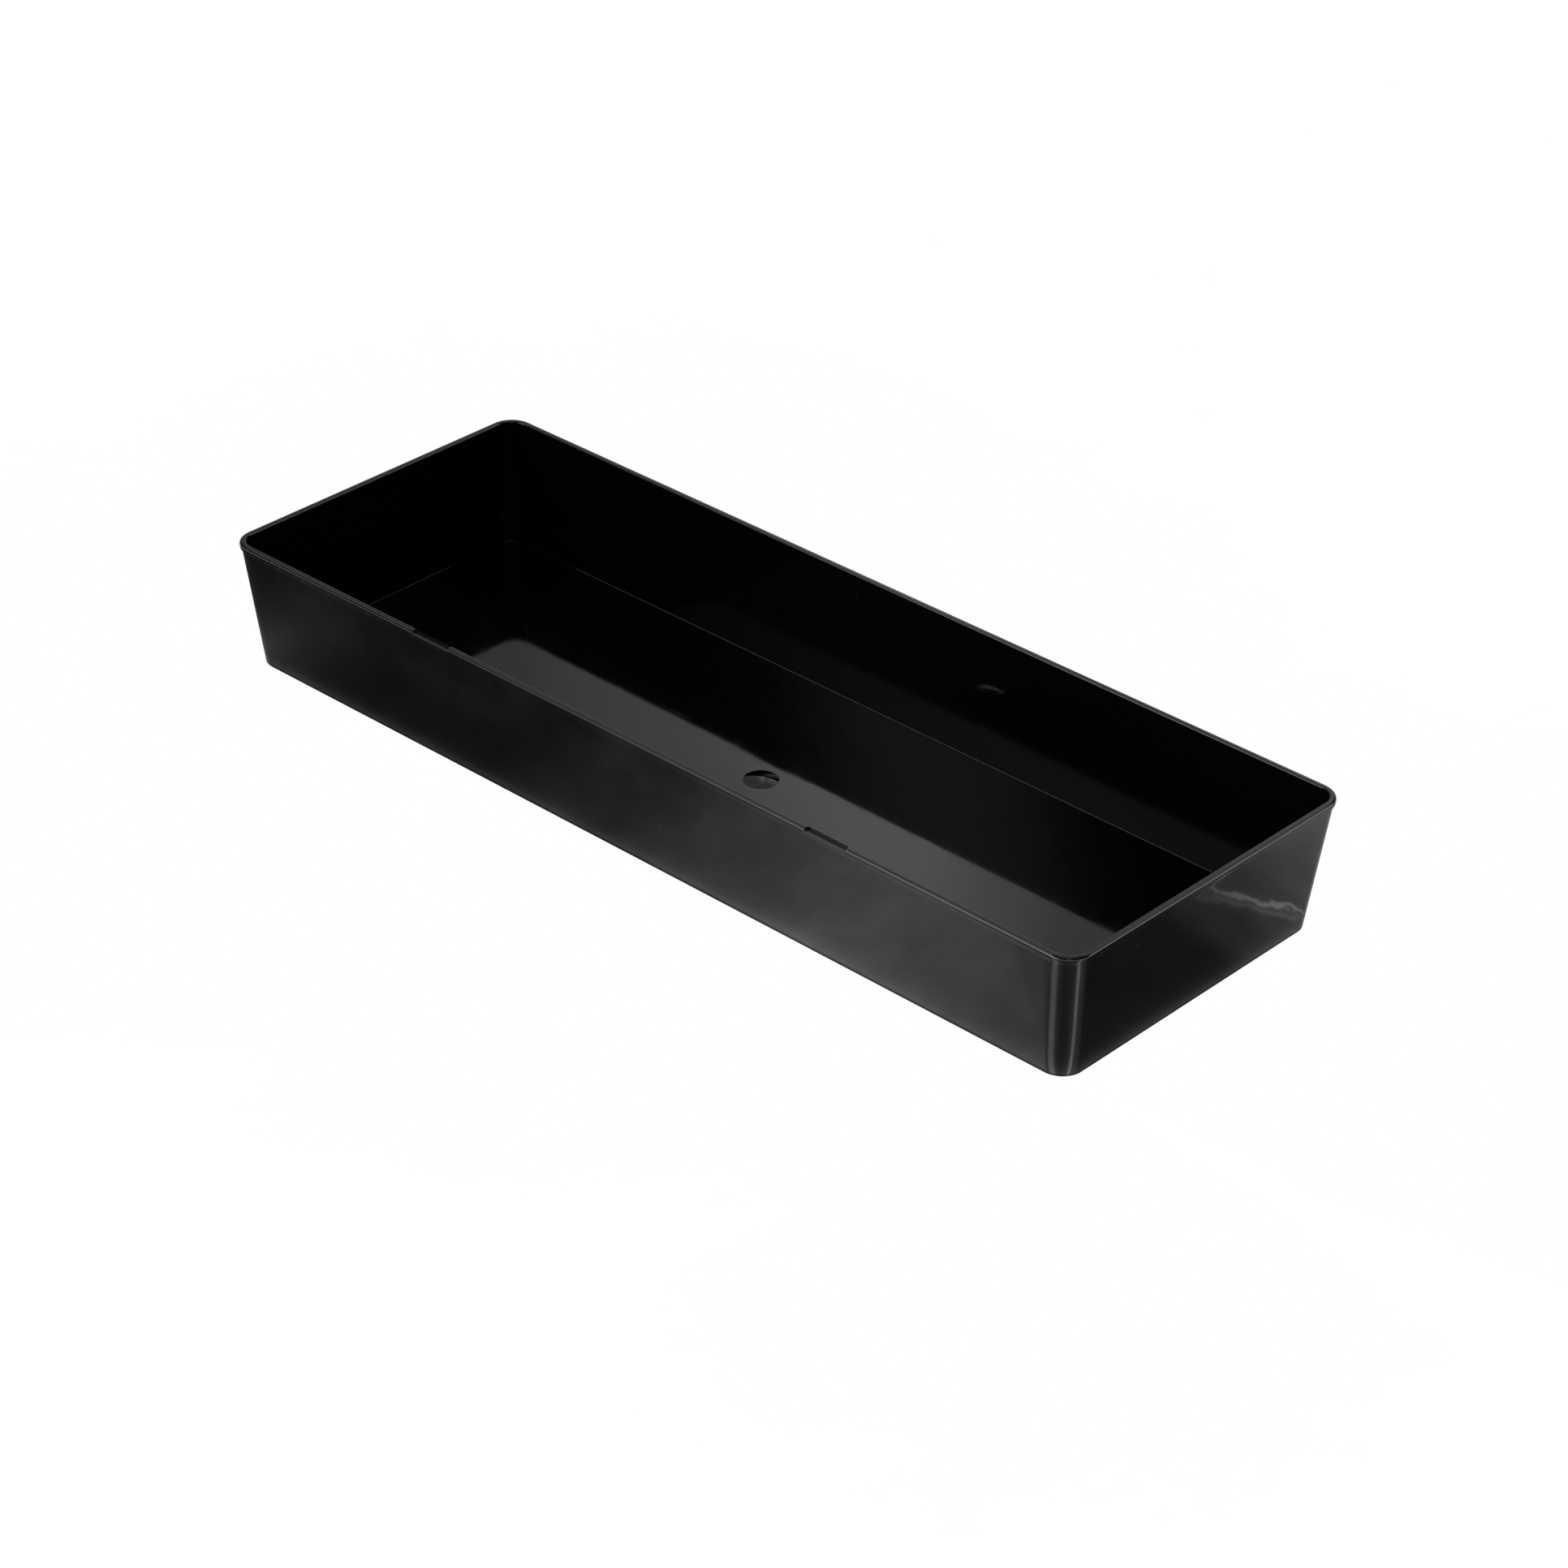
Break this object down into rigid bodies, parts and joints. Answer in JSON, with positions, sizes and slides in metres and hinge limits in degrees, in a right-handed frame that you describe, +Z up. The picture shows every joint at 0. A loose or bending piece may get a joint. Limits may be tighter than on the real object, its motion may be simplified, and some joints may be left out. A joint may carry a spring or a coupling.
{
  "type": "drawer organizer tray",
  "caption": "Shallow rectangular insert tray for a drawer, with tapered thin walls, rounded corners, a rim lip and small notches in one long side.",
  "frame": {"origin": "centre of the underside, on the surface that the tray stands on", "axes": "+X along the tray, +Y from the notched long wall to the plain long wall, +Z up towards the rim"},
  "size_m": [0.3, 0.108, 0.038],
  "materials": {
    "gloss_black": "glossy black moulded polystyrene, polished mould, faint handling scuffs"
  },
  "bodies": {
    "root": {"tray": "gloss_black"}
  },
  "joints": []
}
